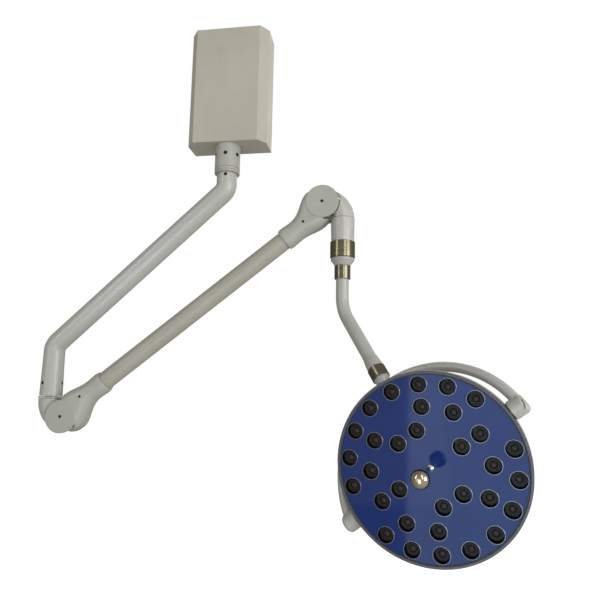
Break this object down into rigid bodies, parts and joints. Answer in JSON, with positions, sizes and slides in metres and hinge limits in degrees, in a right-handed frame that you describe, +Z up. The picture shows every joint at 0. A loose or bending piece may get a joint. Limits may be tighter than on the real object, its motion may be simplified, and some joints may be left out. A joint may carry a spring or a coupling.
{
  "type": "wall-mounted surgical light",
  "caption": "Wall-mounted operating light: cranked swivel arm, balanced spring arm, bent drop tube, half-ring yoke and a round blue-faced LED head with a centre handle.",
  "frame": {"origin": "centre of the wall plate's bolt pattern, on the plate's back face", "axes": "+Z up, +Y into the wall, +X to the right when facing the wall"},
  "size_m": [1.4117, 0.4801, 1.5576],
  "materials": {
    "paint": "satin powder coat",
    "cover_plastic": "satin",
    "ring_bronze": "brushed, dark bronze tone",
    "steel": "machined",
    "screw_steel": "zinc plated",
    "bush_bronze": "machined",
    "supply_case": "sheet",
    "sink_aluminium": "extruded",
    "rim_aluminium": "satin coated",
    "black_rubber": "matte",
    "blue_panel": "glossy, blue printed on the back",
    "lens_glass": "clear over a dark emitter",
    "reflector_chrome": "polished",
    "circuit_board": "white solder mask",
    "handle_chrome": "polished",
    "handle_nickel": "polished, warm nickel tone"
  },
  "bodies": {
    "wall_unit": {"wall_plate": "steel", "housing_cover": "paint", "cover_screws": "screw_steel", "pivot_bracket": "steel", "bracket_bolts": "screw_steel", "pivot_collar": "paint", "flange_bolts": "screw_steel", "brake_screws": "screw_steel", "collar_bushes": "bush_bronze", "power_supply": "supply_case", "cable_grommet": "black_rubber"},
    "crank_arm": {"crank_tube": "paint", "crank_spindle": "steel", "spindle_retainer": "steel", "trim_ring": "ring_bronze", "crank_screws": "screw_steel", "bearing_housing": "steel", "base_bushes": "bush_bronze", "end_ring": "ring_bronze"},
    "base_knuckle": {"lower_knuckle": "paint", "base_clip": "steel", "lower_pin_bushes": "bush_bronze"},
    "spring_arm": {"lower_clevis": "steel", "upper_clevis": "steel", "lower_cover_front": "cover_plastic", "lower_cover_rear": "cover_plastic", "upper_cover_front": "cover_plastic", "upper_cover_rear": "cover_plastic", "arm_cover_screws": "screw_steel", "hinge_pins": "steel", "arm_tube": "paint", "spring_rod": "steel", "balance_spring": "steel"},
    "end_knuckle": {"upper_knuckle": "paint", "upper_pin_bushes": "bush_bronze", "end_tube": "paint", "locking_sleeve": "ring_bronze", "end_tube_bushes": "bush_bronze"},
    "drop_tube": {"cone_adapter": "paint", "retaining_segment": "steel", "drop_sleeve": "ring_bronze", "bent_tube": "paint", "lower_socket": "paint", "yoke_sleeve": "ring_bronze"},
    "yoke": {"yoke_tube": "paint", "pivot_blocks": "paint", "friction_washers": "bush_bronze"},
    "lamp_head": {"head_housing": "paint", "housing_screws": "screw_steel", "bezel_ring": "rim_aluminium", "panel_seal": "black_rubber", "front_panel": "blue_panel", "lens_cups": "reflector_chrome", "led_lenses": "lens_glass", "led_board": "circuit_board", "heat_sink": "sink_aluminium", "pivot_studs": "steel", "handle_stem": "handle_chrome", "handle_ball": "handle_nickel"}
  },
  "joints": [
    {"name": "crank_swing", "type": "hinge", "parent": "wall_unit", "child": "crank_arm", "pos_m": [0, -0.0615, -0.194], "axis": [0, 0, 1], "range_deg": [0, 180]},
    {"name": "arm_swing", "type": "hinge", "parent": "crank_arm", "child": "base_knuckle", "pos_m": [-0.546, -0.0615, -0.994], "axis": [0, 0, 1], "range_deg": [-170, 170]},
    {"name": "arm_lift", "type": "hinge", "parent": "base_knuckle", "child": "spring_arm", "pos_m": [-0.486, -0.0615, -1.055], "axis": [0, -1, 0], "range_deg": [-69.5, 5.5]},
    {"name": "upper_level", "type": "hinge", "parent": "spring_arm", "child": "end_knuckle", "pos_m": [0.31032, -0.0615, -0.39857], "axis": [0, -1, 0], "range_deg": [-5.6, 69.6]},
    {"name": "drop_swivel", "type": "hinge", "parent": "end_knuckle", "child": "drop_tube", "pos_m": [0.37032, -0.0615, -0.5675], "axis": [0, 0, 1], "range_deg": [-170, 170]},
    {"name": "yoke_turn", "type": "hinge", "parent": "drop_tube", "child": "yoke", "pos_m": [0.60573, -0.32022, -1.1346], "axis": [0.4362, -0.4794, -0.7615], "range_deg": [-135, 135]},
    {"name": "head_tilt", "type": "hinge", "parent": "yoke", "child": "lamp_head", "pos_m": [0.60573, -0.32022, -1.1346], "axis": [0.7731, -0.2334, 0.5898], "range_deg": [-55, 95]}
  ],
  "couplings": [
    {"joint": "upper_level", "follows": "arm_lift", "ratio": -1}
  ]
}
